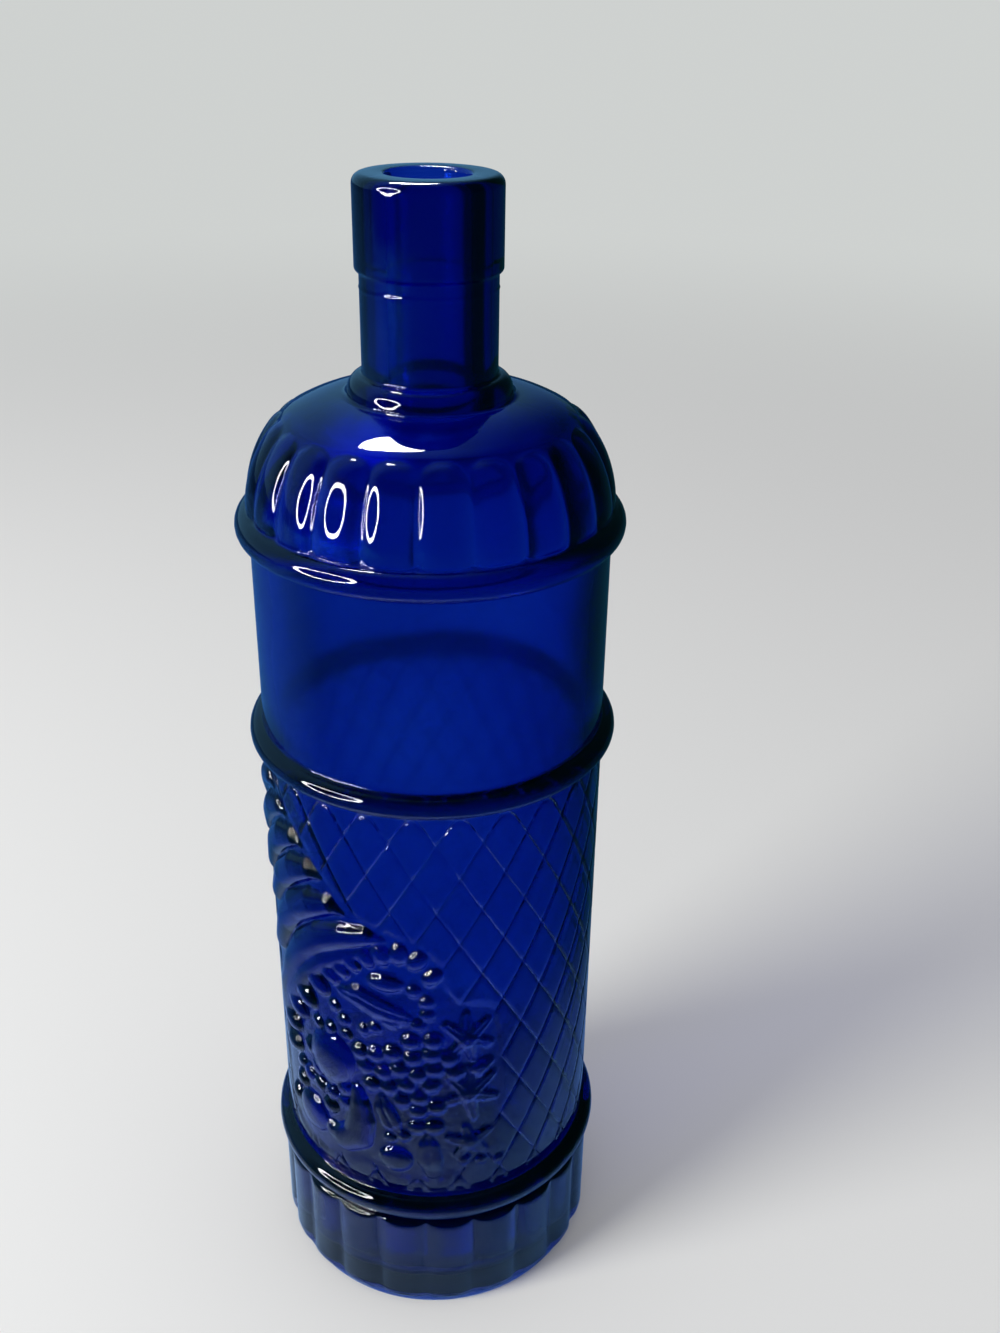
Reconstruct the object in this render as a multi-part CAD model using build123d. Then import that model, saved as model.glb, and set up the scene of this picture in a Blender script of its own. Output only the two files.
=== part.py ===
from build123d import *
import os
from math import asin, atan2, cos, degrees, hypot, pi, radians, sin, sqrt

os.makedirs("parts", exist_ok=True)

# A pressed glass bottle, standing on z = 0 with its axis on Z. The relief faces -Y and -X.
# Heights of the sections, from the foot up
base_plate_height = 5.0
base_band_height = 30.4
lower_ring_height = 6.8
lattice_height = 122.8
middle_ring_height = 6.0
label_height = 48.0
upper_ring_height = 7.4
shoulder_flute_height = 21.6
dome_height = 4.5
neck_bead_height = 4.6
neck_height = 22.5
lip_height = 20.4

# Outside radii, and how far the mould's features stand out of them or fall short
body_radius = 43.0
ring_rise = 3.3
lattice_inset = 0.1
base_flute_rise = 1.9
base_waist_inset = 0.1
heel_top_inset = 0.2
heel_round_width = 1.6
shoulder_rise = 0.6
shoulder_narrowing = 10.2
neck_radius = 15.5
neck_bead_rise = 3.5
lip_rise = 1.0

# The hollow
bore_radius = 9.3
body_wall = 4.0
throat_flare = 6.7
inner_dome_drop = 1.2
inner_dome_bulge = 0.9
inner_shoulder_inset = 7.5
inner_shoulder_drop = 5.2
inner_shoulder_bulge = 1.9
floor_corner_width = 6.0
floor_corner_height = 3.0
floor_corner_sag = 0.4
floor_dome_rise = 5.0
foot_width = 6.8
punt_rise = 5.0

# Edges and bulges
lip_edge_round = 2.2
mouth_edge_round = 1.0
lip_foot_round = 0.9
neck_bead_land = 0.7
dome_bulge = 0.9
dome_land = 1.0
shoulder_bulge = 2.3
heel_height = 3.6
heel_flare = 1.7
heel_round_height = 2.4
base_waist_height = 2.2
base_flute_crown = 4.2
flute_clearance = 0.4

# Flutes
shoulder_flute_count = 22
shoulder_flute_depth = 1.2
shoulder_flute_angle = -4.4
base_flute_count = 21
base_flute_depth = 1.3
base_flute_angle = -4.4
flute_fade = 0.05
# Each pair is a share of the shoulder's flute height and a share of the flute's depth there.
shoulder_flute_shares = [
    (0.0, 0.5), (0.06, 0.9), (0.25, 1.0), (0.5, 1.0), (0.75, 1.0), (0.93, 0.95), (0.975, 0.6)
]

# Lattice of flat diamonds
lattice_count = 24
lattice_row_height = 9.7
lattice_top_gap = 8.4
lattice_edge_gap = 2.6
lattice_foot_gap = 3.3
lattice_angle = 0.3
pad_height = 0.6
pad_groove = 1.0

# Relief of a horn of plenty, and the sizes of its lumps as shares of its height: half the
# length, half the width and how far the lump stands out of the wall
relief_foot = 7.8
relief_head = 15.0
relief_gap = 0.25
footprint_count = 5
blunt_end_share = 0.97
grape_size_shares = (0.0205, 0.0205, 0.0175)
berry_size_shares = (0.013, 0.013, 0.011)
bead_size_shares = (0.027, 0.0185, 0.013)
coil_size_shares = (0.092, 0.039, 0.027)
peach_size_shares = (0.055, 0.055, 0.027)
apple_size_shares = (0.059, 0.059, 0.026)
pear_size_shares = (0.045, 0.045, 0.027)
plum_size_shares = (0.050, 0.025, 0.017)
bottom_fruit_size_shares = (0.049, 0.044, 0.022)
leaf_size_shares = (0.070, 0.036, 0.015)

# Places on the relief: steps to the right of the front line, and a share of the relief's
# height. A step is a share of that height too.
step_share = 0.0075
right_grape_shares = [
    (-8.7, 0.470), (-1.0, 0.475), (-27.0, 0.405), (-21.0, 0.410), (-15.0, 0.425), (-8.0, 0.415),
    (-1.5, 0.430), (4.4, 0.415), (-24.8, 0.360), (-18.5, 0.355), (-12.5, 0.373), (-6.5, 0.360),
    (-0.6, 0.380), (6.6, 0.368), (-22.8, 0.305), (-16.5, 0.307), (-10.1, 0.323), (-2.2, 0.325),
    (-12.0, 0.268), (-5.8, 0.283), (-6.5, 0.235), (0.0, 0.250), (-7.0, 0.178), (-0.9, 0.180)
]
left_grape_shares = [
    (-50.0, 0.330), (-46.3, 0.275), (-40.0, 0.273), (-34.2, 0.256), (-51.6, 0.225),
    (-45.7, 0.217), (-39.7, 0.217), (-34.0, 0.206), (-41.2, 0.163), (-57.6, 0.175),
    (-63.0, 0.095)
]
berry_shares = [
    (-25.2, 0.483), (-21.2, 0.498), (-3.0, 0.560), (-6.0, 0.525), (-3.0, 0.600), (-7.2, 0.635),
    (9.5, 0.055), (16.0, 0.045), (22.5, 0.030), (-37.0, 0.525), (-33.0, 0.490),
    (-39.5, 0.440), (-32.5, 0.445), (-45.5, 0.435), (-16.6, 0.128), (-11.6, 0.142)
]
peach_shares = [(-38.5, 0.355)]
apple_shares = [(-51.0, 0.095)]
plum_shares = [(-17.0, 0.650)]
bottom_fruit_shares = [(-15.0, 0.055)]
# Each bead: steps, share of the relief's height, share of the bead's full size
bead_shares = [
    (-1.0, 0.680, 0.9), (-6.0, 0.730, 1.0), (-12.0, 0.747, 1.0), (-18.0, 0.738, 1.0),
    (-23.5, 0.720, 1.0), (-29.0, 0.692, 1.0), (-33.6, 0.660, 1.0), (-38.4, 0.627, 1.1),
    (-44.0, 0.575, 1.3), (-51.0, 0.505, 1.4), (-57.0, 0.440, 1.4), (-62.0, 0.365, 1.4),
    (-62.0, 0.285, 1.3), (-57.2, 0.238, 0.8)
]
# Each stretch of a coil: steps, share of the height, share of its length, share of its width, tilt
coil_shares = [
    (-28.5, 0.785, 1.00, 0.90, 5.0), (-44.0, 0.720, 1.00, 1.00, 34.0),
    (-57.0, 0.610, 1.00, 0.90, 52.0), (-65.5, 0.500, 0.80, 0.72, 66.0),
    (-42.5, 0.838, 0.90, 0.92, 10.0), (-56.0, 0.790, 0.95, 0.92, 36.0),
    (-66.5, 0.695, 0.80, 0.80, 54.0),
    (-51.5, 0.908, 0.82, 0.84, 13.0), (-64.0, 0.866, 0.85, 0.84, 37.0),
    (-59.5, 0.972, 0.76, 0.76, 16.0), (-71.0, 0.935, 0.76, 0.76, 38.0),
    (-68.5, 1.030, 0.70, 0.68, 18.0), (-79.0, 0.998, 0.66, 0.68, 38.0),
    (-76.5, 1.083, 0.62, 0.58, 20.0), (-85.0, 1.056, 0.55, 0.54, 36.0)
]
# Each lobe of the pear: steps, share of the height, share of the pear's full size
pear_shares = [
    (-27.2, 0.235, 0.62), (-27.2, 0.185, 0.74), (-28.2, 0.128, 1.00), (-34.0, 0.082, 0.82),
    (-39.6, 0.072, 0.55)
]
# Each leaf: steps, share of the height, share of its length, share of its width, tilt
inner_leaf_shares = [(-21.5, 0.560, 1.15, 0.95, -14.0), (-17.2, 0.203, 0.85, 0.85, 97.0)]
lower_leaf_shares = [(-2.8, 0.078, 0.95, 1.00, 88.0)]
vine_leaf_shares = [
    (12.2, 0.483, 0.80, 1.15, 18.0), (16.4, 0.375, 0.65, 0.60, 8.0),
    (12.0, 0.277, 0.85, 1.20, -12.0), (12.6, 0.128, 0.80, 0.95, 6.0)
]

# Levels of the joints between the sections
plate_top = base_plate_height
band_top = plate_top + base_band_height
lower_ring_top = band_top + lower_ring_height
lattice_top = lower_ring_top + lattice_height
middle_ring_top = lattice_top + middle_ring_height
label_top = middle_ring_top + label_height
upper_ring_top = label_top + upper_ring_height
flute_top = upper_ring_top + shoulder_flute_height
dome_top = flute_top + dome_height
bead_top = dome_top + neck_bead_height
neck_top = bead_top + neck_height
bottle_top = neck_top + lip_height

# Radii and sizes that follow from the ones above
lattice_radius = body_radius - lattice_inset
ring_radius = body_radius + ring_rise
base_flute_radius = body_radius + base_flute_rise
base_waist_radius = body_radius - base_waist_inset
heel_top_radius = base_flute_radius - base_flute_depth - heel_top_inset
heel_radius = heel_top_radius - heel_round_width
punt_radius = heel_radius - foot_width
shoulder_radius = body_radius + shoulder_rise
dome_edge_radius = shoulder_radius - shoulder_narrowing
neck_bead_radius = neck_radius + neck_bead_rise
lip_radius = neck_radius + lip_rise
cavity_radius = body_radius - body_wall
floor_corner_radius = cavity_radius - floor_corner_width
inner_shoulder_radius = cavity_radius - inner_shoulder_inset
inner_shoulder_level = flute_top - inner_shoulder_drop
inner_dome_radius = bore_radius + throat_flare
relief_base = lower_ring_top + relief_foot
relief_height = lattice_height - relief_foot - relief_head


def point(radius, level):
    return (radius, 0, level)


def cap(edge_radius, edge_level, rise):
    """Half of a dome's outline, from its edge up to its crown on the axis."""
    sphere_radius = (edge_radius ** 2 + rise ** 2) / (2 * rise)
    half_turn = asin(edge_radius / sphere_radius) / 2
    crown = edge_level + rise
    middle = (sphere_radius * sin(half_turn), crown - sphere_radius * (1 - cos(half_turn)))
    return ThreePointArc(point(edge_radius, edge_level), point(*middle), point(0, crown))


def line(*points):
    """Straight edges through points given as radius and level."""
    places = [point(*each) for each in points]
    return [Line(a, b) for a, b in zip(places, places[1:])]


def bulge(start, end, height):
    """An arc from start to end that stands out by height, to the right of its way."""
    run, rise = end[0] - start[0], end[1] - start[1]
    length = hypot(run, rise)
    middle = (
        (start[0] + end[0]) / 2 + height * rise / length,
        (start[1] + end[1]) / 2 - height * run / length,
    )
    return [ThreePointArc(point(*start), point(*middle), point(*end))]


def quarter(start, end, out_first):
    """A quarter of an ellipse from start to end, which leaves start along the radius or level."""
    corner = (end[0], start[1]) if out_first else (start[0], end[1])
    centre = (start[0] + end[0] - corner[0], start[1] + end[1] - corner[1])
    half = sqrt(2) / 2
    middle = tuple(c + (k - c) * half for c, k in zip(centre, corner))
    return [ThreePointArc(point(*start), point(*middle), point(*end))]


def turned(edges):
    """A solid turned about Z from a closed outline in the XZ plane."""
    return revolve(make_face(edges), Axis.Z)


def keep(name, shape):
    """Writes one node, as one solid or as a group of solids."""
    solids = shape.solids()
    whole = solids[0] if len(solids) == 1 else Compound(children=list(solids))
    export_step(whole, f"parts/{name}.step")


def ring_section(low, high, low_radius, high_radius):
    """A slice of the wall with a round bead turned on its outside."""
    half = (high - low) / 2
    low_root = max(low_radius, ring_radius - half)
    high_root = max(high_radius, ring_radius - half)
    outside = ThreePointArc(
        point(low_root, low), point(ring_radius, low + half), point(high_root, high)
    )
    return turned(
        line((high_root, high), (cavity_radius, high), (cavity_radius, low), (low_root, low))
        + [outside]
    )


def wall_section(low, high, radius):
    """A plain slice of the wall."""
    return turned(
        line((cavity_radius, low), (radius, low), (radius, high), (cavity_radius, high),
             (cavity_radius, low))
    )


def fluted_wire(count, first_angle, peak, depth, level):
    """Round lobes side by side in a ring, which meet in sharp creases."""
    half_turn = pi / count
    arcs = []
    for number in range(count):
        crease = radians(first_angle) + 2 * half_turn * number - pi / 2
        ends = [
            ((peak - depth) * cos(crease + turn), (peak - depth) * sin(crease + turn), level)
            for turn in (0, 2 * half_turn)
        ]
        crown = (peak * cos(crease + half_turn), peak * sin(crease + half_turn), level)
        arcs.append(ThreePointArc(ends[0], crown, ends[1]))
    return Wire([arc.edge() for arc in arcs])


def base_envelope():
    """The turned shape that crowns the base's flutes above and rounds the heel below."""
    crown_level = band_top - base_waist_height
    flute_foot = heel_height + heel_flare
    outer_radius = base_flute_radius + flute_clearance
    return turned(
        line((0, 0), (heel_radius, 0))
        + quarter((heel_radius, 0), (heel_top_radius, heel_round_height), True)
        + line((heel_top_radius, heel_round_height), (heel_top_radius, heel_height))
        + quarter((heel_top_radius, heel_height), (outer_radius, flute_foot), True)
        + line((outer_radius, flute_foot), (outer_radius, crown_level - base_flute_crown))
        + quarter(
            (outer_radius, crown_level - base_flute_crown), (base_waist_radius, crown_level), False
        )
        + line((base_waist_radius, crown_level), (base_waist_radius, band_top), (0, band_top), (0, 0))
    )


def fluted_base():
    """The whole outside of the base, flutes and heel, as one solid block."""
    outline = fluted_wire(base_flute_count, base_flute_angle, base_flute_radius,
                          base_flute_depth, 0)
    return extrude(Face(outline), band_top, dir=(0, 0, 1)) & base_envelope()


def make_base(block):
    """Cuts the block into the plate with its punt and the band of the wall above it."""
    reach = base_flute_radius + 2 * flute_clearance
    floor_edge = (floor_corner_radius, plate_top)
    corner_top = (cavity_radius, plate_top + floor_corner_height)
    plate_room = turned(
        line((punt_radius, 0), (reach, 0), (reach, plate_top), floor_edge)
        + [cap(floor_corner_radius, plate_top, floor_dome_rise)]
        + line((0, plate_top + floor_dome_rise), (0, punt_rise))
        + [cap(punt_radius, 0, punt_rise)]
    )
    band_room = turned(
        line(floor_edge, (reach, plate_top), (reach, band_top), (cavity_radius, band_top), corner_top)
        + bulge(corner_top, floor_edge, -floor_corner_sag)
    )
    return block & plate_room, block & band_room


def shoulder_radius_at(share):
    """Radius of the shoulder's bulging outline at a share of its flutes' height."""
    start, end = (shoulder_radius, 0), (dome_edge_radius, shoulder_flute_height)
    chord = hypot(end[0] - start[0], end[1])
    arc_radius = (chord ** 2 / 4 + shoulder_bulge ** 2) / (2 * shoulder_bulge)
    lean = atan2(start[0] - end[0], end[1])
    inset = arc_radius - shoulder_bulge
    centre = (
        (start[0] + end[0]) / 2 - inset * cos(lean),
        end[1] / 2 - inset * sin(lean),
    )
    rise = share * shoulder_flute_height - centre[1]
    return centre[0] + sqrt(arc_radius ** 2 - rise ** 2)


def shoulder_inside():
    """The hollow under the shoulder, from the throat down to the body's wall."""
    throat = (bore_radius, dome_top)
    ceiling = (inner_dome_radius, flute_top - inner_dome_drop)
    corner = (inner_shoulder_radius, inner_shoulder_level)
    foot = (cavity_radius, upper_ring_top)
    return turned(
        bulge(ceiling, throat, -inner_dome_bulge)
        + bulge(corner, ceiling, inner_dome_bulge)
        + bulge(foot, corner, inner_shoulder_bulge)
        + line(throat, (0, dome_top), (0, upper_ring_top), foot)
    )


def shoulder_ceiling():
    """The room over the hollow's corner, whose glass belongs to the dome."""
    return turned(
        line((0, inner_shoulder_level), (inner_shoulder_radius, inner_shoulder_level),
             (dome_edge_radius - dome_land, flute_top), (0, flute_top), (0, inner_shoulder_level))
    )


def make_shoulder_flutes(hollow, ceiling):
    """The gadrooned band of the shoulder: a loft through rings of lobes."""
    rings = []
    for share, depth_share in shoulder_flute_shares:
        crease = shoulder_radius_at(share) - shoulder_flute_depth * (1 - share)
        depth = shoulder_flute_depth * depth_share
        rings.append(fluted_wire(shoulder_flute_count, shoulder_flute_angle, crease + depth,
                                 depth, upper_ring_top + share * shoulder_flute_height))
    rings.append(fluted_wire(shoulder_flute_count, shoulder_flute_angle,
                             dome_edge_radius + flute_fade, flute_fade, flute_top))
    return Part(Solid.make_loft(rings).wrapped) - ceiling - hollow


def make_dome(hollow, ceiling):
    """The smooth cap between the flutes and the neck, down to the hollow's corner."""
    outside = turned(
        bulge((dome_edge_radius, flute_top), (neck_bead_radius, dome_top), dome_bulge)
        + line((neck_bead_radius, dome_top), (0, dome_top), (0, flute_top),
               (dome_edge_radius, flute_top))
    )
    return outside + ceiling - hollow


def make_neck_bead():
    """The rounded step where the neck grows out of the shoulder."""
    land_top = dome_top + neck_bead_land
    return turned(
        line((bore_radius, dome_top), (neck_bead_radius, dome_top), (neck_bead_radius, land_top))
        + quarter((neck_bead_radius, land_top), (neck_radius, bead_top), False)
        + line((neck_radius, bead_top), (bore_radius, bead_top), (bore_radius, dome_top))
    )


def make_neck():
    return turned(
        line((bore_radius, bead_top), (neck_radius, bead_top), (neck_radius, neck_top),
             (bore_radius, neck_top), (bore_radius, bead_top))
    )


def make_lip():
    """The tall collar of the lip, with its edges melted round."""
    foot_out = lip_radius - lip_foot_round
    edge_in = lip_radius - lip_edge_round
    edge_low = bottle_top - lip_edge_round
    mouth_out = bore_radius + mouth_edge_round
    mouth_low = bottle_top - mouth_edge_round
    return turned(
        line((bore_radius, neck_top), (foot_out, neck_top))
        + quarter((foot_out, neck_top), (lip_radius, neck_top + lip_foot_round), True)
        + line((lip_radius, neck_top + lip_foot_round), (lip_radius, edge_low))
        + quarter((lip_radius, edge_low), (edge_in, bottle_top), False)
        + line((edge_in, bottle_top), (mouth_out, bottle_top))
        + quarter((mouth_out, bottle_top), (bore_radius, mouth_low), True)
        + line((bore_radius, mouth_low), (bore_radius, neck_top))
    )


def relief_level(share):
    return relief_base + share * relief_height


def relief_turn(steps):
    """The angle in radians from the front line to a place that many steps to the right."""
    return steps * step_share * relief_height / lattice_radius


def on_wall(steps, level):
    """A plane on the lattice wall: X runs round to the right, Y runs up, Z points out."""
    turn = relief_turn(steps)
    return Plane(
        origin=(lattice_radius * sin(turn), -lattice_radius * cos(turn), level),
        x_dir=(cos(turn), sin(turn), 0),
        z_dir=(sin(turn), -cos(turn), 0),
    )


def swell(place, half_length, half_width, height, tilt=0):
    """A rounded lump that stands out of the wall by height, with blunt ends if it is long."""
    round_radius = (half_width ** 2 + height ** 2) / (2 * height)
    long_radius = half_length * round_radius / half_width
    is_long = long_radius > round_radius
    outline = Ellipse(long_radius, round_radius) if is_long else Circle(round_radius)
    end = long_radius * blunt_end_share if is_long else round_radius
    upper_half = Pos(0, round_radius) * Rectangle(2 * end, 2 * round_radius)
    body = revolve(outline & upper_half, Axis.X)
    return place * Pos(0, 0, height - round_radius) * Rot(0, 0, tilt) * Rot(-90, 0, 0) * body


def outside_wall():
    """The room between the lattice wall and the reach of the rings."""
    return turned(
        line((lattice_radius, lower_ring_top), (ring_radius, lower_ring_top),
             (ring_radius, lattice_top), (lattice_radius, lattice_top),
             (lattice_radius, lower_ring_top))
    )


def joined(lumps, room):
    """Lumps cut off at the wall and melted together."""
    whole = lumps[0] & room
    for lump in lumps[1:]:
        whole = whole + (lump & room)
    return whole


def full_rows(shares):
    """Rows filled out to steps, height, share of the length, share of the width and tilt."""
    rows = []
    for steps, up_share, *scale in shares:
        long_share = scale[0] if scale else 1
        wide_share = scale[1] if len(scale) > 1 else long_share
        tilt = scale[2] if len(scale) > 2 else 0
        rows.append((steps, up_share, long_share, wide_share, tilt))
    return rows


def bead_rows():
    """Beads round the horn's mouth, each lying across the rim's line."""
    rows = []
    for number, (steps, up_share, full_share) in enumerate(bead_shares):
        before = bead_shares[max(number - 1, 0)]
        after = bead_shares[min(number + 1, len(bead_shares) - 1)]
        across = degrees(atan2(after[1] - before[1], (after[0] - before[0]) * step_share)) + 90
        rows.append((steps, up_share, full_share, full_share, across))
    return rows


def lump(row, size_shares):
    """One lump of the relief, from a full row of its table and the shares of its size."""
    steps, up_share, long_share, wide_share, tilt = row
    half_length, half_width, height = [share * relief_height for share in size_shares]
    return swell(on_wall(steps, relief_level(up_share)), half_length * long_share,
                 half_width * wide_share, height * wide_share, tilt)


def footprints(rows, size_shares):
    """Each lump as round footprints along its length: turn, level and reach."""
    prints = []
    for steps, up_share, long_share, wide_share, tilt in rows:
        reach = size_shares[1] * wide_share * relief_height
        length = max(size_shares[0] * long_share * relief_height - reach, 0)
        for number in range(footprint_count):
            along = length * (2 * number / (footprint_count - 1) - 1)
            turn = along * cos(radians(tilt)) / lattice_radius
            rise = along * sin(radians(tilt))
            prints.append((relief_turn(steps) + turn, relief_level(up_share) + rise, reach))
    return prints


def lattice_pads(prints):
    """Raised diamonds in rows, left out where the relief stands."""
    pitch = radians(360 / lattice_count) * lattice_radius
    half_width, half_height = pitch / 2, lattice_row_height
    side_distance = half_width * half_height / hypot(half_width, half_height)
    shrink = 1 - pad_groove / 2 / side_distance
    high = lattice_top - lattice_edge_gap
    low = lower_ring_top + lattice_foot_gap
    skin = turned(
        line((lattice_radius, low), (lattice_radius + pad_height, low),
             (lattice_radius + pad_height, high), (lattice_radius, high), (lattice_radius, low))
    )
    pads = []
    row = -1
    level = lattice_top - lattice_top_gap + lattice_row_height
    while level > low - half_height:
        diamond = Polyline(
            (half_width * shrink, 0), (0, half_height * shrink), (-half_width * shrink, 0),
            (0, -half_height * shrink), (half_width * shrink, 0)
        )
        face = Plane(origin=(0, 0, level), x_dir=(1, 0, 0), z_dir=(0, -1, 0)) * make_face(diamond)
        pad = extrude(face, ring_radius) & skin
        for column in range(lattice_count):
            angle = lattice_angle + 360 / lattice_count * (column + row % 2 / 2)
            if pad.solids() and not is_covered(angle, level, half_width, half_height, prints):
                pads += (Rot(0, 0, angle) * pad).solids()
        row += 1
        level -= lattice_row_height
    return Compound(children=pads)


def is_covered(angle, level, half_width, half_height, prints):
    """Whether a diamond comes within a gap of any relief lump's footprint."""
    for lump_turn, lump_level, reach in prints:
        turn = (angle - degrees(lump_turn) + 180) % 360 - 180
        run = abs(radians(turn) * lattice_radius)
        rise = abs(level - lump_level)
        side = hypot(half_width, half_height)
        beyond = (run * half_height + rise * half_width - half_width * half_height) / side
        if beyond < reach + relief_gap and rise < half_height + reach and run < half_width + reach:
            return True
    return False


# The glass, from the foot up
plate, band = make_base(fluted_base())
shoulder_hollow = shoulder_inside()
ceiling = shoulder_ceiling()
keep("punted_base", plate)
keep("base_flute_band", band)
keep("lower_ring", ring_section(band_top, lower_ring_top, base_waist_radius, lattice_radius))
keep("lattice_band", wall_section(lower_ring_top, lattice_top, lattice_radius))
keep("middle_ring", ring_section(lattice_top, middle_ring_top, lattice_radius, body_radius))
keep("label_band", wall_section(middle_ring_top, label_top, body_radius))
keep("upper_ring", ring_section(label_top, upper_ring_top, body_radius, body_radius))
keep("shoulder_flutes", make_shoulder_flutes(shoulder_hollow, ceiling))
keep("shoulder_dome", make_dome(shoulder_hollow, ceiling))
keep("neck_bead", make_neck_bead())
keep("neck_tube", make_neck())
keep("lip_collar", make_lip())

# The relief on the lattice band
relief_groups = {
    "horn_coils": (full_rows(coil_shares), coil_size_shares),
    "horn_rim_beads": (bead_rows(), bead_size_shares),
    "right_grapes": (full_rows(right_grape_shares), grape_size_shares),
    "left_grapes": (full_rows(left_grape_shares), grape_size_shares),
    "small_berries": (full_rows(berry_shares), berry_size_shares),
    "peach": (full_rows(peach_shares), peach_size_shares),
    "apple": (full_rows(apple_shares), apple_size_shares),
    "pear": (full_rows(pear_shares), pear_size_shares),
    "plum": (full_rows(plum_shares), plum_size_shares),
    "bottom_fruit": (full_rows(bottom_fruit_shares), bottom_fruit_size_shares),
    "inner_leaves": (full_rows(inner_leaf_shares), leaf_size_shares),
    "lower_leaf": (full_rows(lower_leaf_shares), leaf_size_shares),
    "vine_leaves": (full_rows(vine_leaf_shares), leaf_size_shares),
}
relief_room = outside_wall()
relief_prints = []
for name, (rows, size_shares) in relief_groups.items():
    relief_prints += footprints(rows, size_shares)
    keep(name, joined([lump(row, size_shares) for row in rows], relief_room))
keep("lattice_pads", lattice_pads(relief_prints))
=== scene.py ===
from math import atan2, cos, degrees, hypot, pi, radians, sin

import bmesh
import bpy
import numpy as np
from bpy.props import FloatProperty, FloatVectorProperty, PointerProperty
from mathutils import Matrix, Vector


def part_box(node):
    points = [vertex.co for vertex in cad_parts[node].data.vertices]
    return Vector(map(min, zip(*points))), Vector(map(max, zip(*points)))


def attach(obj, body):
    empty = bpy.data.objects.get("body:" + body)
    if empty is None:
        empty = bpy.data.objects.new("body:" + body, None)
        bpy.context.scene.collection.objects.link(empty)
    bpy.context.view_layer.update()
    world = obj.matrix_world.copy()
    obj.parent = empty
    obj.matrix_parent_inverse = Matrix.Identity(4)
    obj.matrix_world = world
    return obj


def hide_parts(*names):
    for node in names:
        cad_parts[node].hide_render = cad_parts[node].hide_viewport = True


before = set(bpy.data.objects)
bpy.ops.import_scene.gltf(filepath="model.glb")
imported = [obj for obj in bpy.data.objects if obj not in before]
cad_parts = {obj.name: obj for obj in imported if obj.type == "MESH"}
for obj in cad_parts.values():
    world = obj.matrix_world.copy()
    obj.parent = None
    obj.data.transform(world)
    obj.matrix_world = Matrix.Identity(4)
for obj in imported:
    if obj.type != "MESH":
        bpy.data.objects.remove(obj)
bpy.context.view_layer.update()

bl_info = {
    "name": "Cobalt Glass Bottle",
    "version": (1, 0, 0),
    "blender": (4, 5, 0),
    "location": "View3D > Sidebar > Bottle",
    "description": "Presses a fluted cobalt glass bottle with a lattice and a horn of plenty",
    "category": "Add Mesh",
}

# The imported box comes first, before anything is added
MM = 0.001


def top_of(node):
    """The level of a node's upper end, in millimetres."""
    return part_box(node)[1].z / MM


def reach_of(node):
    """The smallest of a round node's four reaches from the axis, in millimetres."""
    low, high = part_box(node)
    return min(-low.x, -low.y, high.x, high.y) / MM


# Levels of the bottle's sections, in millimetres, read from the frame
BAND_TOP = top_of("base_flute_band")
LOWER_RING_TOP = top_of("lower_ring")
LATTICE_TOP = top_of("lattice_band")
MIDDLE_RING_TOP = top_of("middle_ring")
LABEL_TOP = top_of("label_band")
UPPER_RING_TOP = top_of("upper_ring")
FLUTE_TOP = top_of("shoulder_flutes")
DOME_TOP = top_of("shoulder_dome")
BEAD_TOP = top_of("neck_bead")
NECK_TOP = top_of("neck_tube")
BOTTLE_TOP = top_of("lip_collar")

# Outside radii, in millimetres
RING_RADIUS = min(reach_of(node) for node in ("lower_ring", "middle_ring", "upper_ring")) - 0.02
LATTICE_RADIUS = 42.9
WAIST_RADIUS = 42.9
BODY_RADIUS = 43.0
BASE_FLUTE_RADIUS = 44.9
HEEL_TOP_RADIUS = 43.4
HEEL_RADIUS = 41.8
PUNT_RADIUS = 35.0
SHOULDER_RADIUS = 43.6
DOME_EDGE_RADIUS = 33.4
NECK_BEAD_RADIUS = 19.0
NECK_RADIUS = 15.5
LIP_RADIUS = 16.5
BORE_RADIUS = 9.3

# Flutes and lattice
BASE_FLUTES = 21
SHOULDER_FLUTES = 22
FLUTE_ANGLE = -4.4
COLUMNS_PER_FLUTE = 16
LATTICE_COLUMNS = 384
LATTICE_COUNT = 24
LATTICE_ANGLE = 0.3
ROW_HEIGHT = 9.7
ROWS_PER_DIAMOND = 8
RING_COLUMNS = 192
PLAIN_COLUMNS = 176
NECK_COLUMNS = 88
FOOT_COLUMNS = 84
DEGREE = radians(1) * LATTICE_RADIUS


class BottleSizes(bpy.types.PropertyGroup):
    """Sizes and colour of the glass"""
    wall: FloatProperty(
        name="Wall", description="Thickness of the body's glass",
        default=4.0 * MM, unit="LENGTH")
    shoulder_flute_depth: FloatProperty(
        name="Shoulder flutes", description="Depth of the creases",
        default=1.2 * MM, unit="LENGTH")
    base_flute_depth: FloatProperty(
        name="Base flutes", description="Depth of the creases",
        default=1.3 * MM, unit="LENGTH")
    groove_depth: FloatProperty(
        name="Lattice grooves", description="How far the diamonds stand out",
        default=0.34 * MM, unit="LENGTH")
    relief_share: FloatProperty(
        name="Relief", description="Height of the relief, 1 as pressed",
        default=1.0, subtype="FACTOR")
    waviness: FloatProperty(
        name="Waviness", description="Unevenness of the inside of the wall",
        default=0.16 * MM, unit="LENGTH")
    glass_colour: FloatVectorProperty(
        name="Glass colour", description="Light left after a thick wall",
        subtype="COLOR", default=(0.06, 0.43, 0.855), size=3)
    glass_density: FloatProperty(
        name="Glass density", description="Strength of the colour per metre",
        default=850.0)


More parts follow.
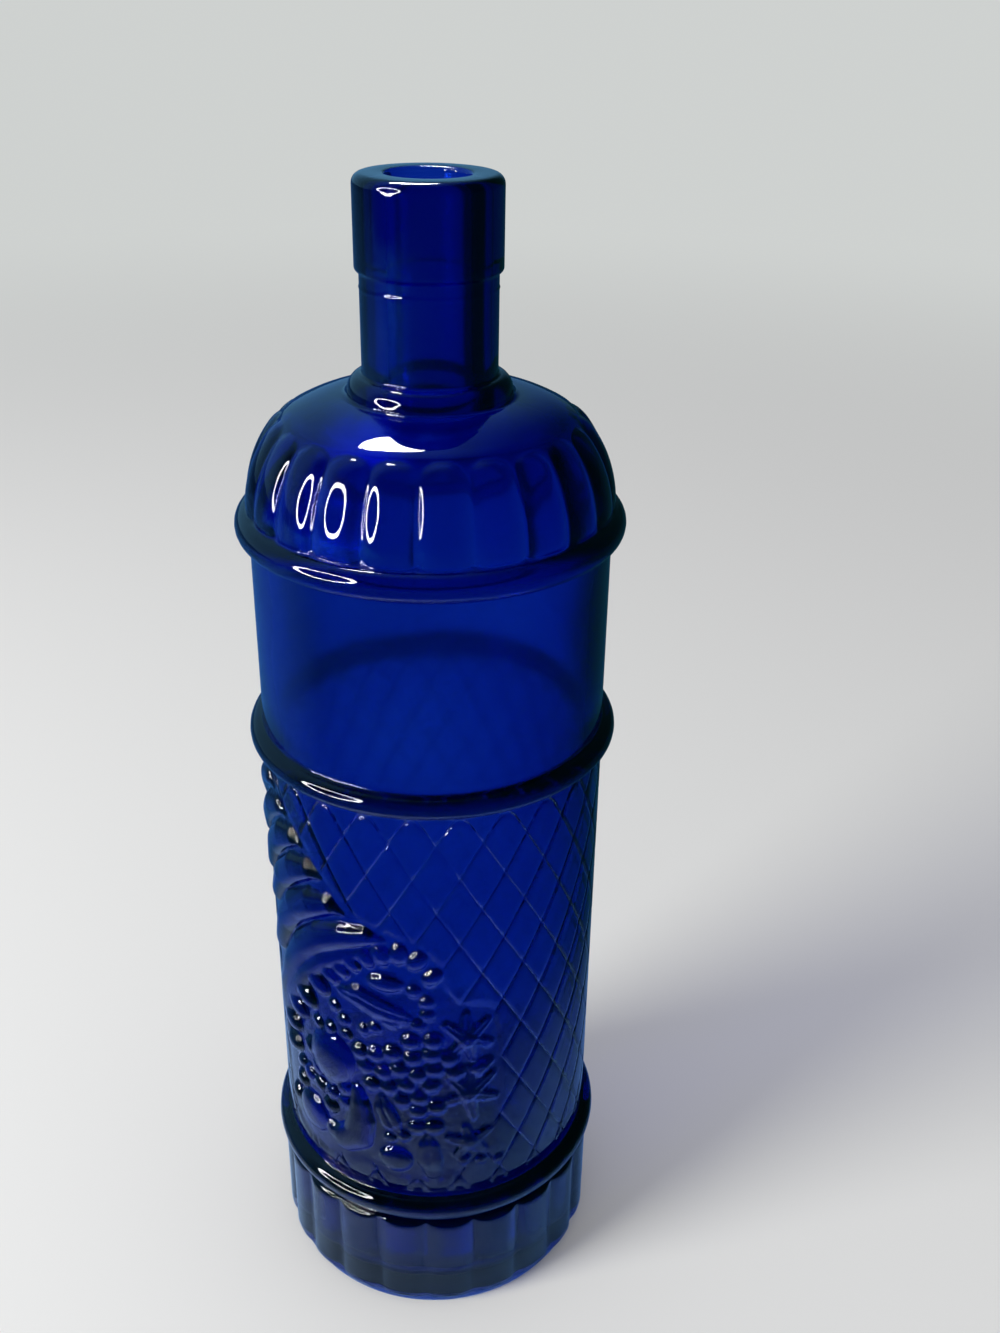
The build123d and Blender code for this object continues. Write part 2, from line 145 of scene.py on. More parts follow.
class StageLook(bpy.types.PropertyGroup):
    """Lamps and colours round the bottle"""
    floor_colour: FloatVectorProperty(
        name="Floor", description="Colour of the table top",
        subtype="COLOR", default=(0.80, 0.80, 0.79), size=3)
    ring_lamp_width: FloatProperty(
        name="Ring lamp", description="Diameter of the ring lamp",
        default=0.78, unit="LENGTH")
    ring_lamp_power: FloatProperty(
        name="Ring lamp power", description="Brightness of its surface",
        default=36.0)
    key_power: FloatProperty(
        name="Key lamp", description="Power of the soft lamp behind the ring",
        default=32.0, unit="POWER")
    room_light: FloatProperty(
        name="Room light", description="Brightness of the room all round",
        default=0.52)
    backdrop_colour: FloatVectorProperty(
        name="Backdrop", description="Colour far behind the bottle",
        subtype="COLOR", default=(0.62, 0.64, 0.63), size=3)


def deselect():
    """Leaves edit mode with nothing selected."""
    if bpy.context.mode != "OBJECT":
        bpy.ops.object.mode_set(mode="OBJECT")
    bpy.ops.object.select_all(action="DESELECT")


def pick(*objects):
    """Selects these objects alone and makes the first one active."""
    deselect()
    for each in objects:
        each.select_set(True)
    bpy.context.view_layer.objects.active = objects[0]


def arc(start, middle, end, steps):
    """Points on the arc through three points, the ends included."""
    (ax, ay), (bx, by), (cx, cy) = start, middle, end
    d = 2 * (ax * (by - cy) + bx * (cy - ay) + cx * (ay - by))
    a2, b2, c2 = ax * ax + ay * ay, bx * bx + by * by, cx * cx + cy * cy
    ox = (a2 * (by - cy) + b2 * (cy - ay) + c2 * (ay - by)) / d
    oy = (a2 * (cx - bx) + b2 * (ax - cx) + c2 * (bx - ax)) / d
    first, half, last = [atan2(y - oy, x - ox) for x, y in (start, middle, end)]
    turn = (last - first) % (2 * pi)
    if (half - first) % (2 * pi) > turn:
        turn -= 2 * pi
    radius = hypot(ax - ox, ay - oy)
    angles = [first + turn * k / steps for k in range(steps + 1)]
    return [(ox + radius * cos(angle), oy + radius * sin(angle)) for angle in angles]


def bulge(start, end, height, steps):
    """Points on an arc that stands out to the right of its way."""
    run, rise = end[0] - start[0], end[1] - start[1]
    length = hypot(run, rise)
    middle = ((start[0] + end[0]) / 2 + height * rise / length,
              (start[1] + end[1]) / 2 - height * run / length)
    return arc(start, middle, end, steps)


def quarter(start, end, out_first, steps):
    """Points on a quarter of an ellipse, which leaves its start along the radius or the level."""
    points = []
    for k in range(steps + 1):
        near, far = sin(pi / 2 * k / steps), 1 - cos(pi / 2 * k / steps)
        across, up = (near, far) if out_first else (far, near)
        points.append((start[0] + (end[0] - start[0]) * across, start[1] + (end[1] - start[1]) * up))
    return points


def turned_band(name, columns, first_angle, stations):
    """A tube turned about the axis: a circle drawn out through stations of radius and level."""
    deselect()
    radius, level = stations[0]
    bpy.ops.mesh.primitive_circle_add(
        vertices=columns, radius=radius * MM, fill_type="NOTHING", location=(0, 0, level * MM),
        rotation=(0, 0, radians(first_angle + 180)))
    band = bpy.context.active_object
    band.name = name
    bpy.ops.object.transform_apply(location=True, rotation=True, scale=True)
    bpy.ops.object.mode_set(mode="EDIT")
    bpy.ops.mesh.select_mode(type="EDGE")
    bpy.ops.mesh.select_all(action="SELECT")
    for (old_radius, old_level), (radius, level) in zip(stations, stations[1:]):
        share = radius / old_radius
        bpy.ops.mesh.extrude_edges_move(
            TRANSFORM_OT_translate={"value": (0, 0, (level - old_level) * MM)})
        bpy.ops.transform.resize(value=(share, share, 1), center_override=(0, 0, 0))
    bpy.ops.object.mode_set(mode="OBJECT")
    return band


def open_mesh(band, kind):
    """Goes into edit mode for edges or faces, with none selected, and gives the mesh."""
    pick(band)
    bpy.ops.object.mode_set(mode="EDIT")
    bpy.ops.mesh.select_mode(type=kind)
    bpy.ops.mesh.select_all(action="DESELECT")
    return bmesh.from_edit_mesh(band.data)


# How close an open edge must lie to the level that is asked for, in millimetres
POLE_TOLERANCE = 0.01
SEAM_TOLERANCE = 0.004


def close_pole(band, level):
    """Draws the open edge at a level together on the axis."""
    mesh = open_mesh(band, "EDGE")
    for edge in mesh.edges:
        if edge.is_boundary and all(abs(v.co.z / MM - level) < POLE_TOLERANCE for v in edge.verts):
            edge.select_set(True)
    bpy.ops.mesh.merge(type="CENTER")
    bpy.ops.object.mode_set(mode="OBJECT")


def bridge(band, low, high):
    """Faces between the open edges at two levels."""
    mesh = open_mesh(band, "EDGE")
    for edge in mesh.edges:
        levels = [v.co.z / MM for v in edge.verts]
        on_seam = any(all(abs(z - at) < SEAM_TOLERANCE for z in levels) for at in (low, high))
        if edge.is_boundary and on_seam:
            edge.select_set(True)
    bmesh.update_edit_mesh(band.data)
    bpy.ops.mesh.bridge_edge_loops(type="SINGLE")
    bpy.ops.object.mode_set(mode="OBJECT")


def places(band):
    """Turn in degrees from the front line, level and radius of each vertex."""
    flat = np.empty(len(band.data.vertices) * 3, np.float64)
    band.data.vertices.foreach_get("co", flat)
    x, y, z = flat.reshape(-1, 3).T
    return np.degrees(np.arctan2(x, -y)), z / MM, np.hypot(x, y) / MM


def press(band, turn, level, radius):
    """Moves each vertex to a radius, its turn and level kept."""
    turn = np.radians(turn)
    points = np.stack([radius * np.sin(turn), -radius * np.cos(turn), level], 1) * MM
    band.data.vertices.foreach_set("co", points.ravel())
    band.data.update()


def soft_min(a, b, k):
    """The smaller of two, rounded off where they differ by less than k."""
    gap = np.clip(k - np.abs(a - b), 0, None) / k
    return np.minimum(a, b) - k * gap * gap / 4


def soft_max(a, b, k):
    """The larger of two, rounded off where they differ by less than k."""
    return -soft_min(-a, -b, k)


LOBE_FLATNESS = 2.7


def flute_side(turn, count):
    """0 along the middle of a flute and 1 at its two creases."""
    width = 360 / count
    return np.abs(((turn - FLUTE_ANGLE) % width) / width * 2 - 1)


def lobe(turn, count, crease, peak):
    """Radius of round lobes side by side, flatter in their middle, which meet in a crease."""
    return peak - (peak - crease) * flute_side(turn, count) ** LOBE_FLATNESS


# Foot: the flat ring that the bottle stands on, and the hollow inside it
PUNT_CROWN = 5.0
PUNT_BEND = 245
PUNT_SHARES = (0.93, 0.8, 0.6, 0.4, 0.2, 0.05)


def foot_stations():
    """The flat ring and the punt, up to a small opening at its crown."""
    return (
        [(HEEL_RADIUS, 0.0), (HEEL_RADIUS - 1.0, 0.0), (PUNT_RADIUS + 1.2, 0.0), (PUNT_RADIUS, 0.12)]
        + [(PUNT_RADIUS * share, PUNT_CROWN - (PUNT_RADIUS * share) ** 2 / PUNT_BEND)
           for share in PUNT_SHARES]
    )


# Base: heel, flutes and waist
HEEL_ROUND_TOP = 2.4
HEEL_TOP = 3.6
FLUTE_FOOT = 5.3
CROWN_FOOT = BAND_TOP - 6.4
CROWN_TOP = BAND_TOP - 2.2
OUTER_RADIUS = BASE_FLUTE_RADIUS + 0.4
FLUTE_BLEND = 0.3


def base_stations():
    """Heel, flutes' height and waist, before the flutes are pressed."""
    return (
        quarter((HEEL_RADIUS, 0), (HEEL_TOP_RADIUS, HEEL_ROUND_TOP), True, 5)[1:]
        + [(HEEL_TOP_RADIUS, 3.0), (HEEL_TOP_RADIUS, HEEL_TOP)]
        + quarter((HEEL_TOP_RADIUS, HEEL_TOP), (OUTER_RADIUS, FLUTE_FOOT), True, 4)[1:]
        + [(OUTER_RADIUS, level) for level in (6.2, 10.0, 16.0, 22.0, CROWN_FOOT - 1.5, CROWN_FOOT)]
        + quarter((OUTER_RADIUS, CROWN_FOOT), (WAIST_RADIUS, CROWN_TOP), False, 7)[1:]
        + [(WAIST_RADIUS, CROWN_TOP + 0.5), (WAIST_RADIUS, BAND_TOP - 0.9)]
    )


def press_base(band, depth):
    """Flutes, cut into the heel below and the waist above."""
    turn, level, radius = places(band)
    flutes = lobe(turn, BASE_FLUTES, BASE_FLUTE_RADIUS - depth, BASE_FLUTE_RADIUS)
    press(band, turn, level, soft_min(radius, flutes, FLUTE_BLEND))


RING_STEPS = 12


def ring_arc(low, high, low_radius, high_radius):
    """Outline of a ring bead between two walls."""
    half = (high - low) / 2
    start = (max(low_radius, RING_RADIUS - half), low)
    end = (max(high_radius, RING_RADIUS - half), high)
    return arc(start, (RING_RADIUS, low + half), end, RING_STEPS)


# Shoulder: places along it are shares of the flutes' height
SHOULDER_STEPS = 26
SHOULDER_RISE = 2.3
SHOULDER_FOOT = 0.5
ARCH_TOP = 0.965
ARCH_DROP = 0.15
ARCH_LENGTH = 0.12
FOOT_START = 0.45
FOOT_LENGTH = 0.07
LEAST_LOBE = 0.02


def shoulder_outline(share):
    """Radius of the shoulder's bulging outline at a share of its flutes' height."""
    height, rise = FLUTE_TOP - UPPER_RING_TOP, SHOULDER_RISE
    start, end = (SHOULDER_RADIUS, 0), (DOME_EDGE_RADIUS, height)
    chord = hypot(end[0] - start[0], end[1])
    arc_radius = (chord ** 2 / 4 + rise ** 2) / (2 * rise)
    lean = atan2(start[0] - end[0], end[1])
    inset = arc_radius - rise
    centre = ((start[0] + end[0]) / 2 - inset * cos(lean), end[1] / 2 - inset * sin(lean))
    return centre[0] + np.sqrt(arc_radius ** 2 - (share * height - centre[1]) ** 2)


def shoulder_stations():
    """The shoulder's outline, with its points closer together toward the arches."""
    height = FLUTE_TOP - UPPER_RING_TOP - SHOULDER_FOOT
    stations = []
    for k in range(SHOULDER_STEPS + 1):
        share = sin(pi / 2 * k / SHOULDER_STEPS) * 0.6 + 0.4 * k / SHOULDER_STEPS
        stations.append((float(shoulder_outline(share)),
                         UPPER_RING_TOP + SHOULDER_FOOT + share * height))
    return stations


def press_shoulder(band, depth):
    """Round lobes whose upper ends are arches under the dome."""
    turn, level, _ = places(band)
    share = np.clip((level - UPPER_RING_TOP) / (FLUTE_TOP - UPPER_RING_TOP), 0, 1)
    side = flute_side(turn, SHOULDER_FLUTES)
    arch = ARCH_TOP - ARCH_DROP * (1 - np.sqrt(np.clip(1 - side ** 2, 0, 1)))
    head = np.clip((arch - share) / ARCH_LENGTH, 0, 1)
    head = np.sqrt(np.clip(1 - (1 - head) ** 2, 0, 1))
    foot = np.clip(FOOT_START + share / FOOT_LENGTH, 0, 1)
    crease = shoulder_outline(share) - depth * (1 - share)
    peak = crease + depth * head * foot + LEAST_LOBE
    press(band, turn, level, lobe(turn, SHOULDER_FLUTES, crease, peak))


# Lattice: levels of its crossings, and the ends of the diamonds
CROSSING_LEVEL = LATTICE_TOP - 8.4
PAD_FOOT = LOWER_RING_TOP + 3.3
GROOVE_HALF = 0.6075
LINE_STEP = 4.86
ARCH_ROUND = 5.5
PIT_RADIUS = 1.1
PIT_SHARE = 1.5
PAD_FOOT_SLOPE = 0.9
PAD_HEAD_SLOPE = 0.6


def groove_share(turn, level):
    """1 along the grooves between the diamonds, more where two cross, and 0 on the diamonds."""
    across = (turn - LATTICE_ANGLE) / (360 / LATTICE_COUNT / 2)
    up = (level - CROSSING_LEVEL) / ROW_HEIGHT
    near_a = np.abs((across + up + 1) % 2 - 1) * LINE_STEP
    near_b = np.abs((across - up + 1) % 2 - 1) * LINE_STEP
    near = np.minimum(near_a, near_b)
    # Over the last crossings the two grooves meet in a round arch
    side = across % 2 - 1
    arch = np.abs(soft_min((1 - up + side) * LINE_STEP, (1 - up - side) * LINE_STEP, ARCH_ROUND))
    near = np.where(up > 0, arch, near)
    pit = np.clip(1 - np.hypot(near_a, near_b) / PIT_RADIUS, 0, 1) * (up < 0.5)
    return np.maximum(np.clip(1 - near / GROOVE_HALF, 0, 1), PIT_SHARE * pit)


def lattice_height(turn, level, depth):
    """Height of the diamonds over the wall: they stop in a straight line at the foot."""
    foot = np.clip((level - PAD_FOOT) / PAD_FOOT_SLOPE, 0, 1)
    head = np.clip((LATTICE_TOP - 0.6 - level) / PAD_HEAD_SLOPE, 0, 1)
    return depth * np.clip(1 - groove_share(turn, level), 0, 1) * foot * head


# The relief's places are steps (degrees) to the right of the front line and levels in millimetres.
# Each stroke runs through points of steps, level, half width and height.
COILS = [
    [(-20, 124.5, 0.8, 0.5), (-30, 121.5, 2.6, 1.6), (-42, 115.5, 3.4, 2.0), (-52, 107, 3.8, 2.1),
     (-60, 97, 3.6, 1.9), (-66, 87, 3.0, 1.6), (-68, 78, 2.4, 1.2)],
    [(-17, 128, 0.8, 0.5), (-24, 128.2, 3.0, 1.9), (-32, 126.5, 3.8, 2.5), (-42, 122.5, 4.4, 2.7),
     (-51, 116, 4.6, 2.7), (-59, 107, 4.4, 2.5), (-65.5, 97, 4.0, 2.2), (-69, 88, 3.0, 1.6)],
    [(-32, 133, 0.8, 0.5), (-38, 134, 3.0, 2.0), (-46, 131.5, 4.2, 2.6), (-55, 127, 4.6, 2.7),
     (-63, 119.5, 4.4, 2.5), (-69, 110, 3.8, 2.0)],
    [(-41, 141, 0.8, 0.5), (-47, 141.5, 3.0, 1.9), (-55, 138.5, 4.1, 2.6), (-63, 133, 4.2, 2.6),
     (-70, 125, 3.6, 2.0)],
    [(-50, 147.5, 0.8, 0.5), (-55, 148, 2.8, 1.8), (-62, 145.5, 3.9, 2.4), (-70, 140, 3.9, 2.4),
     (-76, 132, 3.2, 1.8)],
    [(-59, 153, 0.8, 0.5), (-64, 153.5, 2.6, 1.6), (-71, 151, 3.5, 2.2), (-78, 146, 3.4, 2.1),
     (-83, 140, 2.8, 1.5)],
    [(-67.5, 157.5, 0.8, 0.5), (-72, 158.5, 2.4, 1.5), (-79, 156.5, 3.0, 1.9), (-85, 152, 2.9, 1.7),
     (-89, 147, 2.2, 1.1)],
]
# Beads round the horn's mouth: steps, level, share of the full size
BEADS = [
    (-1.0, 118.0, 0.9), (-6.0, 123.0, 1.0), (-12.0, 124.7, 1.0), (-18.0, 123.8, 1.0),
    (-23.5, 122.0, 1.0), (-29.0, 119.2, 1.0), (-33.6, 116.0, 1.0), (-38.4, 112.7, 1.1),
    (-44.0, 107.5, 1.3), (-51.0, 100.5, 1.4), (-57.0, 94.0, 1.4), (-62.0, 86.5, 1.4),
    (-62.0, 78.5, 1.3), (-57.2, 73.8, 0.8)
]
GRAPES = [
    (-8.7, 97.0), (-1.0, 97.5), (-27.0, 90.5), (-21.0, 91.0), (-15.0, 92.5), (-8.0, 91.5),
    (-1.5, 93.0), (4.4, 91.5), (-24.8, 86.0), (-18.5, 85.5), (-12.5, 87.3), (-6.5, 86.0),
    (-0.6, 88.0), (6.6, 86.8), (-22.8, 80.5), (-16.5, 80.7), (-10.1, 82.3), (-2.2, 82.5),
    (-12.0, 76.8), (-5.8, 78.3), (-6.5, 73.5), (0.0, 75.0), (-7.0, 67.8), (-0.9, 68.0),
    (-50.0, 83.0), (-46.3, 77.5), (-40.0, 77.3), (-34.2, 75.6), (-51.6, 72.5), (-45.7, 71.7),
    (-39.7, 71.7), (-34.0, 70.6), (-41.2, 66.3), (-57.6, 67.5), (-63.0, 59.5)
]
BERRIES = [
    (-25.2, 98.3), (-21.2, 99.8), (-3.0, 106.0), (-6.0, 102.5), (-3.0, 110.0), (-7.2, 113.5),
    (9.5, 55.5), (16.0, 54.5), (22.5, 53.0), (-37.0, 102.5), (-33.0, 99.0), (-39.5, 94.0),
    (-32.5, 94.5), (-45.5, 93.5), (-16.6, 62.8), (-11.6, 64.2)
]
# Small lumps: full half length, half width and height
BEAD_SIZE = (3.4, 2.5, 1.35)
GRAPE_SIZE = (2.75, 2.75, 1.35)
BERRY_SIZE = (2.0, 2.0, 0.95)
# Round fruit: steps, level, half length, half width, height, tilt
FRUIT = {
    "peach": (-39.6, 84.3, 7.6, 8.6, 2.1, 0),
    "apple": (-51.0, 59.5, 6.4, 6.4, 1.8, 0),
    "plum": (-17.0, 115.0, 5.0, 2.7, 1.25, 0),
    "bottom_fruit": (-15.0, 55.5, 4.9, 4.4, 1.6, 0),
}
PEAR = [(-28.8, 76.5, 2.0, 0.9), (-27.9, 72.0, 3.2, 1.5), (-27.9, 66.5, 4.2, 1.9),
        (-29.5, 60.5, 4.8, 2.1), (-35.0, 57.2, 4.4, 2.0), (-39.8, 57.6, 3.0, 1.4),
        (-42.5, 59.5, 1.4, 0.8)]
LEAVES = [
    [(-33, 108.5, 1.6, 0.7), (-27, 109, 3.4, 1.5), (-20, 107, 3.6, 1.5), (-13, 105.5, 2.6, 1.2),
     (-9, 104.5, 1.0, 0.6)],
    [(-21, 104, 1.4, 0.7), (-15, 103, 2.0, 1.0), (-10.5, 103.5, 1.2, 0.7)],
    [(-19.5, 76.5, 1.2, 0.6), (-18.5, 72.5, 2.9, 1.2), (-16.5, 68.5, 3.0, 1.2), (-13, 64.8, 1.0, 0.6)],
    [(-3.2, 64.5, 1.0, 0.6), (-3.0, 60.5, 3.0, 1.2), (-2.6, 56, 3.6, 1.5), (-1.5, 51.5, 2.4, 0.9)],
]
# Vine leaves: a heart and the tips of its lobes
VINE_LEAVES = [
    ((10.5, 97.5), [(3.5, 102.5), (10, 105.5), (17.5, 102.5), (18.5, 95), (12.5, 90.5), (5, 93)]),
    ((15, 87.3), [(11.5, 88), (18.5, 88.5), (15, 84.8)]),
    ((11, 79), [(2.5, 76.5), (4.5, 85), (12, 88), (19.5, 84), (20.5, 76), (13, 70.5)]),
    ((11.5, 62), [(4, 64), (10, 67), (18.5, 64.5), (17, 57.5), (7, 57.5)]),
]
# Outline of the smooth ground round the relief, where the diamonds stop
GROUND = [
    (-96, 163), (-70, 163), (-58, 155.5), (-47, 149), (-38, 141.5), (-28, 134), (-16, 131),
    (-6, 128), (2, 122), (4.5, 110), (19, 107.5), (22, 97), (23, 85), (22.5, 74), (20.5, 66),
    (19, 57), (8, 52.5), (2, 49.3), (-8, 49.3), (-16, 49.6), (-26, 52.5), (-36, 50.5), (-44, 47.8),
    (-60, 49), (-70, 55), (-73, 75), (-76, 100), (-82, 125), (-94, 148)
]


# How lumps swell and melt into each other
CAP_ROUNDNESS = 0.6
OUTER_SLOPE = 1.2
FRUIT_FLATNESS = 2.5
LEAF_FLATNESS = 3.5
RIB_HALF = 0.6
RIB_DEPTH = 0.3
COIL_SHARE, COIL_BLEND = 0.85, 0.7
LEAF_SHARE, LEAF_BLEND = 0.8, 0.5
VINE_SHARE = 0.85
VINE_HEART, VINE_TIP = (2.4, 1.4), (1.2, 0.8)
BEAD_BLEND = 0.25
LUMP_BLEND = 0.3
WALL_BLEND = 0.35
GROUND_EDGE = 1.4


def cap_height(distance, width, height, flatness=2.0):
    """Section of a lump, flat on top where its flatness is high, and a slope going down outside."""
    inside = height * (1 - np.clip(distance / width, 0, 1) ** flatness) ** CAP_ROUNDNESS
    outside = -(distance - width) * OUTER_SLOPE
    return np.where(distance < width, inside, outside)


def stroke_height(u, v, points, flatness=2.0):
    """Height of a tapering stroke through its points."""
    best = np.full(u.shape, -99.0)
    spots = [(steps * DEGREE, level, width, height) for steps, level, width, height in points]
    for (u0, v0, w0, h0), (u1, v1, w1, h1) in zip(spots, spots[1:]):
        du, dv = u1 - u0, v1 - v0
        t = np.clip(((u - u0) * du + (v - v0) * dv) / (du * du + dv * dv), 0, 1)
        distance = np.hypot(u - u0 - t * du, v - v0 - t * dv)
        cap = cap_height(distance, w0 + t * (w1 - w0), h0 + t * (h1 - h0), flatness)
        best = np.maximum(best, cap)
    return best


def dome_height(u, v, steps, level, length, width, height, tilt=0.0, flatness=2.2):
    """Height of an oval lump."""
    du, dv = u - steps * DEGREE, v - level
    along = du * cos(radians(tilt)) + dv * sin(radians(tilt))
    across = -du * sin(radians(tilt)) + dv * cos(radians(tilt))
    return cap_height(np.hypot(along * width / length, across), width, height, flatness)


def bead_rows():
    """Beads with their sizes and tilt, each lying across the rim's line."""
    rows = []
    for number, (steps, level, share) in enumerate(BEADS):
        before, after = BEADS[max(number - 1, 0)], BEADS[min(number + 1, len(BEADS) - 1)]
        across = degrees(atan2(after[1] - before[1], (after[0] - before[0]) * DEGREE)) + 90
        rows.append((steps, level, *(size * share for size in BEAD_SIZE), across))
    return rows


def relief_height(turn, level):
    """Height of the horn of plenty over the wall, below zero outside it."""
    u, v = turn * DEGREE, level
    height = np.full(u.shape, -9.0)

    def add(lump, blend):
        nonlocal height
        height = soft_max(height, lump, blend)

    def add_leaf(stroke, share):
        """A flat lump with a rib sunk along its middle."""
        lump = stroke_height(u, v, stroke, flatness=LEAF_FLATNESS)
        rib = np.clip(1 - stroke_distance(u, v, stroke) / RIB_HALF, 0, 1)
        add(share * lump - RIB_DEPTH * rib, LEAF_BLEND)

    for coil in COILS:
        add(COIL_SHARE * stroke_height(u, v, coil), COIL_BLEND)
    for row in bead_rows():
        add(dome_height(u, v, *row), BEAD_BLEND)
    for leaf in LEAVES:
        add_leaf(leaf, LEAF_SHARE)
    for heart, tips in VINE_LEAVES:
        for tip in tips:
            add_leaf([(*heart, *VINE_HEART), (*tip, *VINE_TIP)], VINE_SHARE)
    for spots, size in ((GRAPES, GRAPE_SIZE), (BERRIES, BERRY_SIZE)):
        for steps, spot in spots:
            add(dome_height(u, v, steps, spot, *size), LUMP_BLEND)
    for row in FRUIT.values():
        add(dome_height(u, v, *row, flatness=FRUIT_FLATNESS), LUMP_BLEND)
    add(stroke_height(u, v, PEAR, flatness=FRUIT_FLATNESS), LUMP_BLEND)
    return height


def stroke_distance(u, v, points):
    """Distance to the middle line of a stroke."""
    best = np.full(u.shape, 99.0)
    for (s0, v0), (s1, v1) in zip([p[:2] for p in points], [p[:2] for p in points[1:]]):
        u0, du, dv = s0 * DEGREE, (s1 - s0) * DEGREE, v1 - v0
        t = np.clip(((u - u0) * du + (v - v0) * dv) / (du * du + dv * dv), 0, 1)
        best = np.minimum(best, np.hypot(u - u0 - t * du, v - v0 - t * dv))
    return best


def ground_share(turn, level):
    """1 inside the relief's ground, 0 where the lattice is whole, soft between."""
    u, v = turn * DEGREE, level
    inside = np.zeros(u.shape, bool)
    for (s0, v0), (s1, v1) in zip(GROUND, GROUND[1:] + GROUND[:1]):
        crosses = (v0 > v) != (v1 > v)
        with np.errstate(divide="ignore", invalid="ignore"):
            at = s0 * DEGREE + (v - v0) * (s1 - s0) * DEGREE / (v1 - v0) if v1 != v0 else np.inf
        inside ^= crosses & (u < at)
    distance = stroke_distance(u, v, GROUND + GROUND[:1])
    return np.clip(0.5 + np.where(inside, distance, -distance) / GROUND_EDGE, 0, 1)


LATTICE_ROWS = 12
LATTICE_HEAD = 1.1
CUT_HEIGHT = -0.6
CUT_HEAD = 4.6
RING_ROOM = 1.2
BARE_HEIGHT = 0.05


def lattice_stations():
    """Even steps from under the lowest diamonds to just below the middle ring."""
    low = CROSSING_LEVEL - LATTICE_ROWS * ROW_HEIGHT + ROW_HEIGHT / 4
    step = ROW_HEIGHT / ROWS_PER_DIAMOND
    count = int(round((LATTICE_TOP - LATTICE_HEAD - low) / step))
    return [(LATTICE_RADIUS, low + step * k) for k in range(count + 1)]


def refine_relief(band):
    """Cuts the faces under the relief and the arches once more, for their fine shapes."""
    mesh = open_mesh(band, "FACE")
    faces = list(mesh.faces)
    centres = np.array([face.calc_center_median() for face in faces])
    turn = np.degrees(np.arctan2(centres[:, 0], -centres[:, 1]))
    level = centres[:, 2] / MM
    near = (relief_height(turn, level) > CUT_HEIGHT) | (level > LATTICE_TOP - CUT_HEAD)
    for face, chosen in zip(faces, near):
        if chosen:
            face.select_set(True)
    bmesh.update_edit_mesh(band.data)
    bpy.ops.mesh.subdivide(number_cuts=1)
    bpy.ops.object.mode_set(mode="OBJECT")


def press_lattice(band, depth, relief_share):
    """Diamonds and relief, which both sink into the wall close to the ring."""
    turn, level, _ = places(band)
    around = 1 - ground_share(turn, level)
    relief = relief_height(turn, level) * relief_share
    lattice = lattice_height(turn, level, depth) * around
    height = np.clip(soft_max(lattice, relief, WALL_BLEND), 0, None)
    ring_room = np.clip((LATTICE_TOP - level) / RING_ROOM, 0, 1)
    press(band, turn, level, LATTICE_RADIUS + height * ring_room)
    bare = np.clip((level - PAD_FOOT) / PAD_FOOT_SLOPE, 0, 1) * around
    mark(band, "groove_share", groove_share(turn, level) * bare * (relief < BARE_HEIGHT))


def triangulate(band):
    """Cuts each face of the band along its shorter diagonal."""
    pick(band)
    bpy.ops.object.mode_set(mode="EDIT")
    bpy.ops.mesh.select_all(action="SELECT")
    bpy.ops.mesh.quads_convert_to_tris(quad_method="SHORTEST_DIAGONAL", ngon_method="BEAUTY")
    bpy.ops.object.mode_set(mode="OBJECT")


LIP_FOOT_ROUND = 1.0
LIP_EDGE_ROUND = 2.2
LIP_UNDERCUT = 0.9
MOUTH_ROUND = 1.0
SEAM_DROP = 3.4
SEAM_RISE = 0.14
DOME_BULGE = 0.9


def neck_stations():
    """Dome, bead, neck and lip, over the mouth and into the bore."""
    lip_low, lip_high = NECK_TOP + LIP_FOOT_ROUND, BOTTLE_TOP - LIP_EDGE_ROUND
    seam = NECK_TOP - SEAM_DROP
    return (
        bulge((DOME_EDGE_RADIUS, FLUTE_TOP), (NECK_BEAD_RADIUS, DOME_TOP), DOME_BULGE, 9)[1:]
        + [(NECK_BEAD_RADIUS + 0.05, DOME_TOP + 0.35)]
        + quarter((NECK_BEAD_RADIUS, DOME_TOP + 0.7), (NECK_RADIUS, BEAD_TOP), False, 7)
        + [(NECK_RADIUS, BEAD_TOP + 0.6), (NECK_RADIUS, BEAD_TOP + 8), (NECK_RADIUS, seam - 4),
           (NECK_RADIUS, seam - 0.8), (NECK_RADIUS, seam - 0.4), (NECK_RADIUS + SEAM_RISE, seam),
           (NECK_RADIUS, seam + 0.4), (NECK_RADIUS, seam + 0.8),
           (NECK_RADIUS, NECK_TOP - 0.7), (NECK_RADIUS, NECK_TOP)]
        + quarter((LIP_RADIUS - LIP_UNDERCUT, NECK_TOP), (LIP_RADIUS, lip_low), True, 5)
        + [(LIP_RADIUS, lip_low + 0.7), (LIP_RADIUS, NECK_TOP + 9), (LIP_RADIUS, lip_high - 0.8)]
        + quarter((LIP_RADIUS, lip_high), (LIP_RADIUS - LIP_EDGE_ROUND, BOTTLE_TOP), False, 7)
        + [((LIP_RADIUS + BORE_RADIUS) / 2, BOTTLE_TOP)]
        + quarter((BORE_RADIUS + MOUTH_ROUND, BOTTLE_TOP), (BORE_RADIUS, BOTTLE_TOP - MOUTH_ROUND),
                  True, 5)
    )


# Inside: the floor's level at the wall, the places where the hollow bends, and its smoothing
PLATE_LEVEL = 5.0
PLATE_EDGE = 3.0
PLATE_CORNER = 6.0
PLATE_CROWN = 5.0
THROAT = (16.0, FLUTE_TOP - 1.2)
INNER_SHOULDER = (31.5, FLUTE_TOP - 5.2)
STATION_SPACING = 1.0
MELTING_ROUNDS = 36
LEAST_BEND = 0.06
LONGEST_STEP = 7.0
POLE_RADIUS = 0.4


